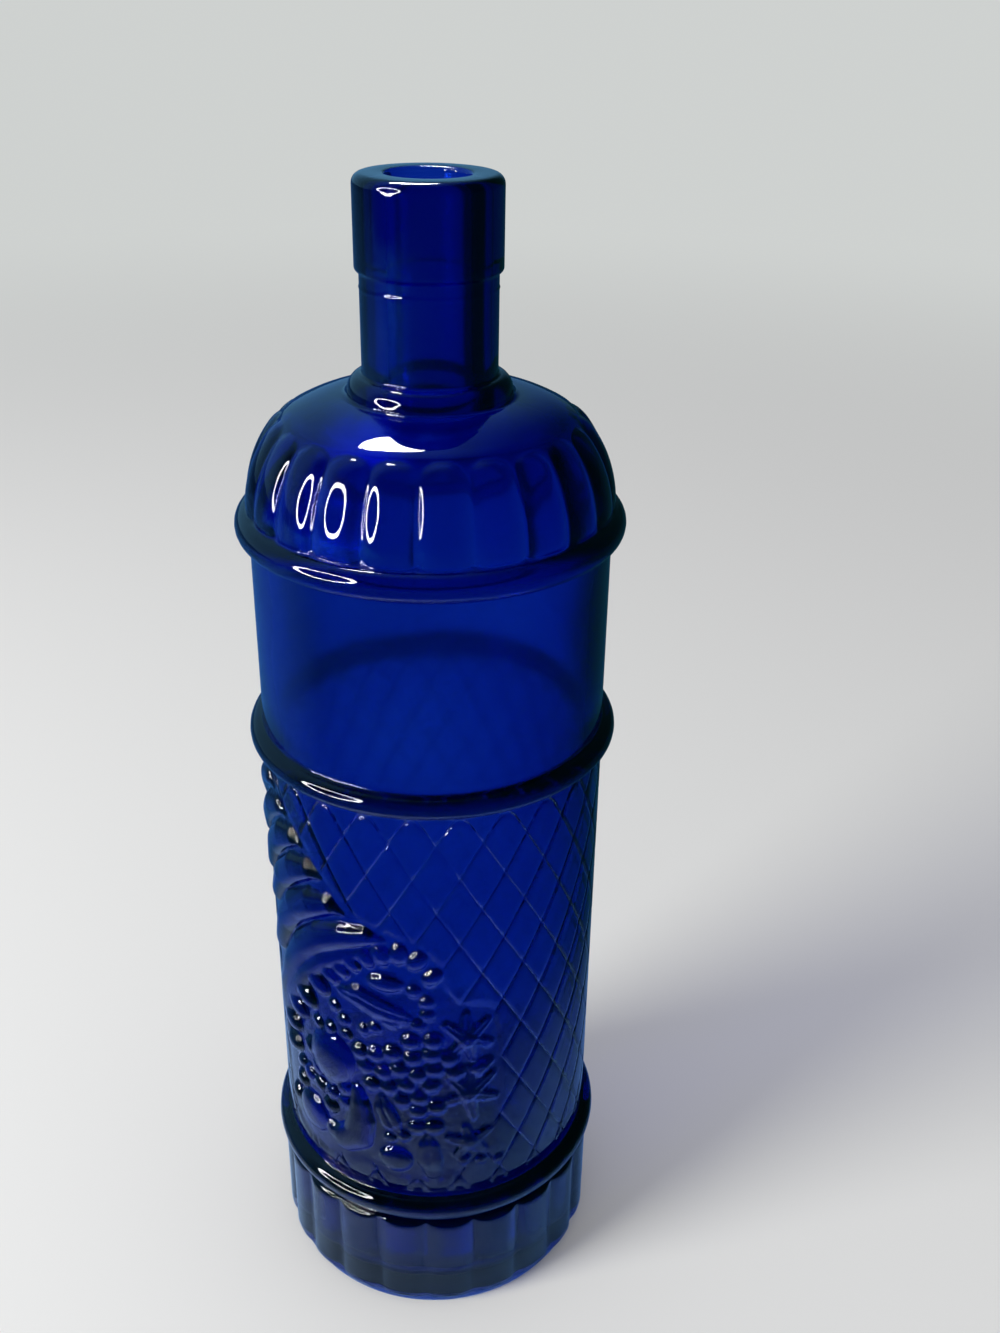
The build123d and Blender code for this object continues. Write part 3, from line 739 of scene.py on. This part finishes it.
def inside_stations(wall):
    """The hollow, from the bore down to the crown of the floor, with its corners melted round."""
    cavity = BODY_RADIUS - wall
    edge, corner = (cavity, PLATE_LEVEL + PLATE_EDGE), (cavity - PLATE_CORNER, PLATE_LEVEL)
    path = (
        [(BORE_RADIUS, BOTTLE_TOP - 3), (BORE_RADIUS, DOME_TOP)]
        + bulge((BORE_RADIUS, DOME_TOP), THROAT, 0.9, 6)[1:]
        + bulge(THROAT, INNER_SHOULDER, -0.9, 6)[1:]
        + bulge(INNER_SHOULDER, (cavity, UPPER_RING_TOP), -1.9, 6)[1:]
        + [edge]
        + bulge(edge, corner, 0.4, 3)[1:]
        + bulge(corner, (0.0, PLATE_LEVEL + PLATE_CROWN), 2.0, 8)[1:]
    )
    lengths = np.cumsum([0] + [hypot(b[0] - a[0], b[1] - a[1]) for a, b in zip(path, path[1:])])
    spots = np.arange(0, lengths[-1], STATION_SPACING)
    points = np.stack([np.interp(spots, lengths, [p[k] for p in path]) for k in (0, 1)], 1)
    for _ in range(MELTING_ROUNDS):
        points[1:-1] = (points[:-2] + 2 * points[1:-1] + points[2:]) / 4
    chosen = [points[0]]
    for here, after in zip(points[1:], points[2:]):
        first, second = here - chosen[-1], after - here
        bend = abs(first[0] * second[1] - first[1] * second[0]) / (
            np.hypot(*first) * np.hypot(*second) + 1e-9)
        if bend > LEAST_BEND or np.hypot(*first) > LONGEST_STEP:
            chosen.append(here)
    return [(max(float(r), POLE_RADIUS), float(z)) for r, z in chosen + [points[-1]]]


# Waves: share of the amount, waves round the wall, radians up 100 mm, shift
WAVES = [(1.0, 2, 5.1, 0.0), (0.7, 3, -7.3, 1.3), (0.5, 5, 11.0, 0.4), (0.4, 0, 17.0, 2.0),
         (0.22, 9, 23.0, 0.0), (0.18, 11, -29.0, 0.9)]
WAVE_FOOT = 14
WAVE_HEAD = 6
WAVE_FADE = 12


def wave_inside(band, amount):
    """The slight unevenness of a wall that was blown against its mould."""
    turn, level, radius = places(band)
    t, z = np.radians(turn), level / 100
    wave = sum(share * np.sin(across * t + up * z + shift) for share, across, up, shift in WAVES)
    foot = np.clip((level - WAVE_FOOT) / WAVE_FADE, 0, 1)
    head = np.clip((DOME_TOP - WAVE_HEAD - level) / WAVE_FADE, 0, 1)
    press(band, turn, level, radius + wave * amount * (foot * head))


def mark(band, name, shares):
    """Keeps a share on each vertex, for the material."""
    attribute = band.data.attributes.new(name, "FLOAT", "POINT")
    values = np.broadcast_to(shares, len(band.data.vertices)).astype(np.float32)
    attribute.data.foreach_set("value", values)


def bare_material(name):
    """A new material and its tree, with no nodes yet."""
    material = bpy.data.materials.new(name)
    material.use_nodes = True
    material.node_tree.nodes.clear()
    return material, material.node_tree


def connect(tree, made, inputs):
    """Gives a node its inputs: values, or outputs of other nodes."""
    for name, value in inputs.items():
        if isinstance(value, bpy.types.NodeSocket):
            tree.links.new(value, made.inputs[name])
        else:
            made.inputs[name].default_value = value
    return made


def node(tree, kind, inputs=None):
    """A new node with its inputs."""
    return connect(tree, tree.nodes.new(kind), inputs or {})


def calculate(tree, operation, *values):
    """The result of a Math node."""
    made = tree.nodes.new("ShaderNodeMath")
    made.operation = operation
    return connect(tree, made, dict(enumerate(values))).outputs["Value"]


def calculate_vector(tree, operation, result, *values):
    """One of the results of a Vector Math node."""
    made = tree.nodes.new("ShaderNodeVectorMath")
    made.operation = operation
    return connect(tree, made, dict(enumerate(values))).outputs[result]


def smooth_share(tree, value, dark, light):
    """0 at one value and 1 at the other, smooth between."""
    spread = node(tree, "ShaderNodeMapRange", {"Value": value, "From Min": dark, "From Max": light})
    spread.interpolation_type = "SMOOTHSTEP"
    return spread.outputs["Result"]


def blend_colours(tree, share, first, second):
    """The first colour where the share is 0, and the second where it is 1."""
    made = tree.nodes.new("ShaderNodeMix")
    made.data_type = "RGBA"
    return connect(tree, made, {"Factor": share, "A": first, "B": second}).outputs["Result"]


def blend_shaders(tree, share, first, second):
    """The first shader where the share is 0, and the second where it is 1."""
    return node(tree, "ShaderNodeMixShader", {"Fac": share, 1: first.outputs[0], 2: second.outputs[0]})


def mirror_ray(tree):
    """1 for a ray that a glossy surface mirrors, 0 for one that glass lets through."""
    path = node(tree, "ShaderNodeLightPath").outputs
    return calculate(tree, "MULTIPLY", path["Is Glossy Ray"], path["Is Reflection Ray"])


def vertex_share(tree, name):
    """A share that mark() kept on the vertices."""
    made = tree.nodes.new("ShaderNodeAttribute")
    made.attribute_name = name
    return made.outputs["Fac"]


def glow(name, colour, strength):
    """A surface that shines evenly."""
    material, tree = bare_material(name)
    light = node(tree, "ShaderNodeEmission", {"Color": (*colour, 1), "Strength": strength})
    node(tree, "ShaderNodeOutputMaterial", {"Surface": light.outputs[0]})
    return material


GLASS_IOR = 1.5
SMUDGE_ROUGHNESS = 0.07
INSIDE_ROUGHNESS = 0.17
RIPPLE_DEPTH = 0.0008
GROOVE_BUMP = 0.00035
# Painted shade: the colour that darkens the middle ring's glass
RING_PAINTED_SHADE = (0.4, 0.35, 0.25, 1)
SHADOW_CLEAR = (0.92, 0.92, 0.92, 1)


def cobalt_glass(look):
    """Clear cobalt glass: coloured through its depth, with smudges, ripples, a hazier inside and
    painted shade on the middle ring.
    """
    material, tree = bare_material("cobalt_glass")
    place = node(tree, "ShaderNodeTexCoord").outputs["Object"]
    smudge = node(tree, "ShaderNodeTexNoise", {
        "Vector": place, "Scale": 38.0, "Detail": 5.0, "Roughness": 0.6})
    smudges = node(tree, "ShaderNodeMapRange", {
        "Value": smudge.outputs["Fac"], "From Min": 0.48, "From Max": 0.75,
        "To Min": 0.0, "To Max": SMUDGE_ROUGHNESS})
    haze = calculate(tree, "MULTIPLY_ADD", vertex_share(tree, "inside_share"), INSIDE_ROUGHNESS,
                     smudges.outputs["Result"])
    ripple = node(tree, "ShaderNodeTexNoise", {"Vector": place, "Scale": 70.0, "Detail": 2.0})
    ripples = node(tree, "ShaderNodeBump", {
        "Height": ripple.outputs["Fac"], "Strength": 0.07, "Distance": RIPPLE_DEPTH})
    groove = node(tree, "ShaderNodeMapRange", {
        "Value": vertex_share(tree, "groove_share"), "From Min": 0.4, "From Max": 1.5,
        "To Min": 1.0, "To Max": 0.0})
    grooves = node(tree, "ShaderNodeBump", {
        "Height": groove.outputs["Result"], "Normal": ripples.outputs["Normal"],
        "Strength": 1.0, "Distance": GROOVE_BUMP})
    # Painted shade: the middle ring is darkened in the glass colour, standing in for the darkness that
    # light's long way through it gives
    ring_shade_colour = blend_colours(tree, vertex_share(tree, "ring_shade_share"), (1, 1, 1, 1), RING_PAINTED_SHADE)
    glass = node(tree, "ShaderNodeBsdfPrincipled", {
        "Base Color": ring_shade_colour, "Roughness": haze, "Normal": grooves.outputs["Normal"],
        "Transmission Weight": 1.0, "IOR": GLASS_IOR})
    # Shadows stay pale, because light would not find its way through the bent walls
    clear = node(tree, "ShaderNodeBsdfTransparent", {"Color": SHADOW_CLEAR})
    path = node(tree, "ShaderNodeLightPath").outputs
    either = calculate(tree, "MAXIMUM", path["Is Shadow Ray"], path["Is Diffuse Ray"])
    surface = blend_shaders(tree, either, glass, clear)
    depth = node(tree, "ShaderNodeVolumeAbsorption", {
        "Color": (*look.glass_colour, 1), "Density": look.glass_density})
    node(tree, "ShaderNodeOutputMaterial", {"Surface": surface.outputs[0], "Volume": depth.outputs[0]})
    return material


class BOTTLE_OT_turn_glass(bpy.types.Operator):
    """Turns, presses and hollows the glass of the bottle"""
    bl_idname = "bottle.turn_glass"
    bl_label = "Glass bottle"

    def execute(self, context):
        sizes = context.scene.bottle_sizes
        lower_path = ring_arc(BAND_TOP, LOWER_RING_TOP, WAIST_RADIUS, LATTICE_RADIUS)
        plain_levels = (MIDDLE_RING_TOP + 0.3, MIDDLE_RING_TOP + 1.2, (MIDDLE_RING_TOP + LABEL_TOP) / 2,
                        LABEL_TOP - 1.2, LABEL_TOP - 0.3)
        trunk_path = (
            ring_arc(LATTICE_TOP, MIDDLE_RING_TOP, LATTICE_RADIUS, BODY_RADIUS)
            + [(BODY_RADIUS, level) for level in plain_levels]
            + ring_arc(LABEL_TOP, UPPER_RING_TOP, BODY_RADIUS, BODY_RADIUS)
        )
        hollow_path = inside_stations(sizes.wall / MM)
        paths = [base_stations(), lower_path, lattice_stations(), trunk_path, shoulder_stations(),
                 neck_stations(), hollow_path]

        foot = turned_band("foot", FOOT_COLUMNS, FLUTE_ANGLE, foot_stations())
        close_pole(foot, foot_stations()[-1][1])
        base = turned_band("base", BASE_FLUTES * COLUMNS_PER_FLUTE, FLUTE_ANGLE, paths[0])
        press_base(base, sizes.base_flute_depth / MM)
        lower_ring = turned_band("lower_ring", RING_COLUMNS, LATTICE_ANGLE, lower_path)
        lattice = turned_band("lattice", LATTICE_COLUMNS, LATTICE_ANGLE, paths[2])
        refine_relief(lattice)
        press_lattice(lattice, sizes.groove_depth / MM, sizes.relief_share)
        triangulate(lattice)
        trunk = turned_band("trunk", PLAIN_COLUMNS, FLUTE_ANGLE, trunk_path)
        shoulder = turned_band("shoulder", SHOULDER_FLUTES * COLUMNS_PER_FLUTE, FLUTE_ANGLE, paths[4])
        press_shoulder(shoulder, sizes.shoulder_flute_depth / MM)
        neck = turned_band("neck", NECK_COLUMNS, FLUTE_ANGLE, paths[5])
        hollow = turned_band("hollow", NECK_COLUMNS, FLUTE_ANGLE, hollow_path)
        close_pole(hollow, hollow_path[-1][1])
        wave_inside(hollow, sizes.waviness / MM)
        bands = (foot, base, lower_ring, lattice, trunk, shoulder, neck, hollow)
        for band in bands:
            _, level, _ = places(band)
            in_ring = (band is trunk) & (level < MIDDLE_RING_TOP + 0.1)
            mark(band, "inside_share", 1.0 if band is hollow else 0.0)
            # Painted shade: marks the middle ring, whose glass colour is darkened
            mark(band, "ring_shade_share", np.where(in_ring, 1.0, 0.0))

        pick(*bands)
        bpy.ops.object.join()
        bottle = bpy.context.active_object
        bottle.name = bottle.data.name = "bottle_glass"
        bridge(bottle, 0.0, paths[0][0][1])
        for below, above in zip(paths, paths[1:]):
            bridge(bottle, below[-1][1], above[0][1])
        bpy.ops.object.mode_set(mode="EDIT")
        bpy.ops.mesh.select_all(action="SELECT")
        bpy.ops.mesh.normals_make_consistent(inside=False)
        bpy.ops.object.mode_set(mode="OBJECT")
        bpy.ops.object.shade_smooth()
        bottle.data.materials.clear()
        bottle.data.materials.append(cobalt_glass(sizes))
        check_closed(bottle)
        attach(bottle, "root")
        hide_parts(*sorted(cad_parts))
        return {"FINISHED"}


def check_closed(piece):
    """Raises if the glass has an open edge, and prints how many triangles it has."""
    mesh = bmesh.new()
    mesh.from_mesh(piece.data)
    open_edges = [edge for edge in mesh.edges if not edge.is_manifold]
    triangles = sum(len(face.verts) - 2 for face in mesh.faces)
    volume = mesh.calc_volume(signed=True)
    levels = sorted({round(edge.verts[0].co.z / MM, 2) for edge in open_edges})
    mesh.free()
    print(f"{piece.name}: {triangles} triangles, {volume * 1e6:.1f} ml of glass")
    if open_edges:
        raise RuntimeError(f"{len(open_edges)} open edges at levels {levels[:12]}")
    if volume < 0:
        raise RuntimeError("the glass is inside out")


# Stage: ways over the table, the mirrored colours, and upright panels behind the bottle
LAMP_SIDE = (-0.883, -0.469, 0)
BEHIND_LEFT = (-0.75, 0.66, 0)
NEAR_DARK_SIDE = (0.20, 0.44, 0.90, 1)
NEAR_LAMP_SIDE = (0.48, 0.68, 1.0, 1)
DISTANT_FRONT = (0.01, 0.07, 0.10, 1)
DISTANT_BEHIND_LEFT = (0.04, 0.16, 0.43, 1)
ROOM_FRONT = (0.005, 0.03, 0.04, 1)
ROOM_BEHIND = (0.12, 0.33, 0.58, 1)
ROOM_COLOUR = (0.97, 0.98, 1.0, 1)
LAMP_TARGET = (0, 0, 0.23)
RING_BEARING, RING_RISE, RING_DISTANCE = -62, 15, 1.2
RING_THICKNESS = 0.05
KEY_DISTANCE = 1.5
OVERHEAD_PLACE = (-0.14, 0.35, 1.1)
OVERHEAD_TARGET = (0, 0, 0.2)
OVERHEAD_SIZE = (0.48, 0.31)
OVERHEAD_POWER = 14.0
PANEL_HEIGHT = 1.2
CORNER, LEFT_END, RIGHT_END = (0.05, 0.47), (-0.62, -0.27), (0.61, -0.24)
# Name, end of its line from the corner, two shares of that line, colour
PANELS = [
    ("pale_wall_left", LEFT_END, 0.0, 0.21, (0.60, 0.61, 0.60)),
    ("grey_strip", LEFT_END, 0.21, 0.27, (0.16, 0.17, 0.17)),
    ("grey_wall", LEFT_END, 0.27, 1.0, (0.80, 0.88, 0.95)),
    ("pale_wall_right", RIGHT_END, 0.0, 0.19, (0.62, 0.62, 0.64)),
    ("wood_door", RIGHT_END, 0.19, 1.0, (0.02, 0.016, 0.02)),
]


class BOTTLE_OT_stage(bpy.types.Operator):
    """Adds the table top, the lamps, the pale room and the camera"""
    bl_idname = "bottle.stage"
    bl_label = "Stage"

    def execute(self, context):
        look = context.scene.stage_look
        deselect()
        bpy.ops.mesh.primitive_plane_add(size=60.0, location=(0, 0, 0))
        floor = bpy.context.active_object
        floor.name = "floor"
        floor.data.materials.append(self.table_top(look))
        self.add_ring_lamp(look)
        self.add_overhead_lamp()
        for row in PANELS:
            self.add_panel(*row)
        self.light_room(context.scene, look)
        self.place_camera(context.scene)
        return {"FINISHED"}

    def add_ring_lamp(self, look):
        """A glowing ring to the left, a little in front, with a soft lamp that mirrors don't show."""
        turn, rise = radians(RING_BEARING), radians(RING_RISE)
        centre = Vector(LAMP_TARGET)
        direction = Vector((sin(turn) * cos(rise), -cos(turn) * cos(rise), sin(rise)))
        bpy.ops.mesh.primitive_torus_add(
            major_radius=look.ring_lamp_width / 2, minor_radius=look.ring_lamp_width * RING_THICKNESS,
            major_segments=96, minor_segments=12)
        lamp = bpy.context.active_object
        lamp.name = "ring_lamp"
        lamp.rotation_mode = "QUATERNION"
        lamp.rotation_quaternion = direction.to_track_quat("Z", "Y")
        lamp.location = centre + direction * RING_DISTANCE
        lamp.visible_camera = lamp.visible_diffuse = lamp.visible_shadow = False
        lamp.data.materials.append(glow("lamp_glow", (1, 1, 1), look.ring_lamp_power))
        key = bpy.data.lights.new("key", "AREA")
        key.shape, key.size, key.energy = "DISK", look.ring_lamp_width, look.key_power
        self.hang(key, centre + direction * KEY_DISTANCE, centre)

    def hang(self, light, place, target):
        """Puts an area lamp in its place, turned to its target and unseen in mirrors."""
        lamp = bpy.data.objects.new(light.name, light)
        bpy.context.scene.collection.objects.link(lamp)
        lamp.location = place
        lamp.rotation_euler = (Vector(target) - Vector(place)).to_track_quat("-Z", "Y").to_euler()
        lamp.visible_camera = lamp.visible_glossy = lamp.visible_transmission = False
        return lamp

    def add_overhead_lamp(self):
        """A lamp for the highlights on the dome and the flutes' arches."""
        light = bpy.data.lights.new("overhead", "AREA")
        light.shape = "ELLIPSE"
        light.size, light.size_y = OVERHEAD_SIZE
        light.energy = OVERHEAD_POWER
        lamp = self.hang(light, OVERHEAD_PLACE, OVERHEAD_TARGET)
        lamp.visible_glossy = True
        lamp.visible_diffuse = False

    def add_panel(self, name, end, first, last, colour):
        """A panel that shows only through the glass, as light that it bends."""
        start, end = Vector(CORNER), Vector(end)
        low, high = start.lerp(end, first), start.lerp(end, last)
        run = high - low
        bpy.ops.mesh.primitive_plane_add(size=1.0)
        panel = bpy.context.active_object
        panel.name = name
        panel.scale = (run.length, PANEL_HEIGHT, 1)
        panel.rotation_euler = (pi / 2, 0, atan2(run.y, run.x))
        panel.location = (*((low + high) / 2), PANEL_HEIGHT / 2)
        panel.visible_camera = panel.visible_diffuse = panel.visible_shadow = False
        panel.visible_glossy = False
        panel.data.materials.append(glow(name, colour, 1.0))

    def light_room(self, scene, look):
        """A pale room, which turns dark to the front and the right in what the glass mirrors."""
        world = bpy.data.worlds.new("pale_room")
        scene.world = world
        world.use_nodes = True
        world.cycles.sampling_method = "NONE"
        tree = world.node_tree
        tree.nodes.clear()
        place = node(tree, "ShaderNodeTexCoord").outputs["Generated"]
        way = node(tree, "ShaderNodeSeparateXYZ", {"Vector": place})
        behind = smooth_share(tree, way.outputs["Y"], -0.35, 0.25)
        left = smooth_share(tree, way.outputs["X"], 0.45, -0.10)
        mirrored = node(tree, "ShaderNodeBackground", {"Color": blend_colours(
            tree, calculate(tree, "MULTIPLY", behind, left), ROOM_FRONT, ROOM_BEHIND)})
        light = node(tree, "ShaderNodeBackground", {"Color": ROOM_COLOUR, "Strength": look.room_light})
        backdrop = node(tree, "ShaderNodeBackground", {"Color": (*look.backdrop_colour, 1)})
        diffuse_ray = node(tree, "ShaderNodeLightPath").outputs["Is Diffuse Ray"]
        room = blend_shaders(tree, diffuse_ray, backdrop, light)
        room = blend_shaders(tree, mirror_ray(tree), room, mirrored)
        node(tree, "ShaderNodeOutputWorld", {"Surface": room.outputs[0]})

    def table_top(self, look):
        """A pale table top, which passes into the backdrop far off and on the lamps' side."""
        material, tree = bare_material("table_top")
        place = node(tree, "ShaderNodeTexCoord").outputs["Object"]
        reach = calculate_vector(tree, "LENGTH", "Value", place)
        way = calculate_vector(tree, "NORMALIZE", "Vector", place)
        lamp_side = calculate_vector(tree, "DOT_PRODUCT", "Value", place, LAMP_SIDE)
        behind_left = calculate_vector(tree, "DOT_PRODUCT", "Value", way, BEHIND_LEFT)
        # What the glass mirrors of it is lit close to the bottle only
        near = blend_colours(tree, smooth_share(tree, lamp_side, -0.03, 0.09),
                             NEAR_DARK_SIDE, NEAR_LAMP_SIDE)
        distant = blend_colours(tree, smooth_share(tree, behind_left, 0.45, 0.9),
                                DISTANT_FRONT, DISTANT_BEHIND_LEFT)
        mirrored = blend_colours(tree, smooth_share(tree, reach, 0.055, 0.18), near, distant)
        colour = blend_colours(tree, mirror_ray(tree), (*look.floor_colour, 1), mirrored)
        surface = node(tree, "ShaderNodeBsdfPrincipled", {
            "Base Color": colour, "Roughness": 0.35, "Specular IOR Level": 0.0})
        backdrop = node(tree, "ShaderNodeEmission", {"Color": (*look.backdrop_colour, 1)})
        path = node(tree, "ShaderNodeLightPath").outputs
        seen = calculate(tree, "MAXIMUM", path["Is Camera Ray"], path["Is Transmission Ray"])
        outer = calculate(tree, "MAXIMUM", smooth_share(tree, reach, 0.5, 1.7),
                          smooth_share(tree, lamp_side, 0.1, 0.42))
        table = blend_shaders(tree, calculate(tree, "MULTIPLY", seen, outer), surface, backdrop)
        node(tree, "ShaderNodeOutputMaterial", {"Surface": table.outputs[0]})
        return material

    def place_camera(self, scene):
        """The camera looks down on the bottle from the front, as in the photograph."""
        pitch, yaw, roll = radians(27.46), radians(3.15), radians(0.92)
        focal_pixels, image_height, sensor = 1374.05, 1333, 36.0
        forward = Vector((sin(yaw) * cos(pitch), cos(yaw) * cos(pitch), -sin(pitch)))
        level = Vector((cos(yaw), -sin(yaw), 0))
        upward = level.cross(forward)
        right = level * cos(roll) + upward * sin(roll)
        up = upward * cos(roll) - level * sin(roll)
        data = bpy.data.cameras.new("camera")
        data.sensor_width = sensor
        data.lens = focal_pixels / image_height * sensor
        data.clip_start, data.clip_end = 0.01, 200.0
        camera = bpy.data.objects.new("camera", data)
        scene.collection.objects.link(camera)
        turn = Matrix((right, up, -forward)).transposed().to_4x4()
        camera.matrix_world = Matrix.Translation((0, -0.30729, 0.34149)) @ turn
        scene.camera = camera
        scene.view_settings.view_transform = "Standard"


class BOTTLE_PT_panel(bpy.types.Panel):
    """Lists the bottle's pieces and sizes"""
    bl_label = "Cobalt Glass Bottle"
    bl_idname = "BOTTLE_PT_panel"
    bl_space_type = "VIEW_3D"
    bl_region_type = "UI"
    bl_category = "Bottle"

    def draw(self, context):
        layout = self.layout
        for group in (context.scene.bottle_sizes, context.scene.stage_look):
            for name in group.__annotations__:
                layout.prop(group, name)
        for operator in OPERATORS:
            layout.operator(operator.bl_idname)


OPERATORS = (BOTTLE_OT_turn_glass, BOTTLE_OT_stage)
CLASSES = (BottleSizes, StageLook) + OPERATORS + (BOTTLE_PT_panel,)


def register():
    for each in CLASSES:
        bpy.utils.register_class(each)
    bpy.types.Scene.bottle_sizes = PointerProperty(type=BottleSizes)
    bpy.types.Scene.stage_look = PointerProperty(type=StageLook)


def unregister():
    del bpy.types.Scene.bottle_sizes
    del bpy.types.Scene.stage_look
    for each in reversed(CLASSES):
        bpy.utils.unregister_class(each)


def main():
    register()
    bpy.ops.bottle.turn_glass()
    bpy.ops.bottle.stage()


if __name__ == "__main__":
    main()
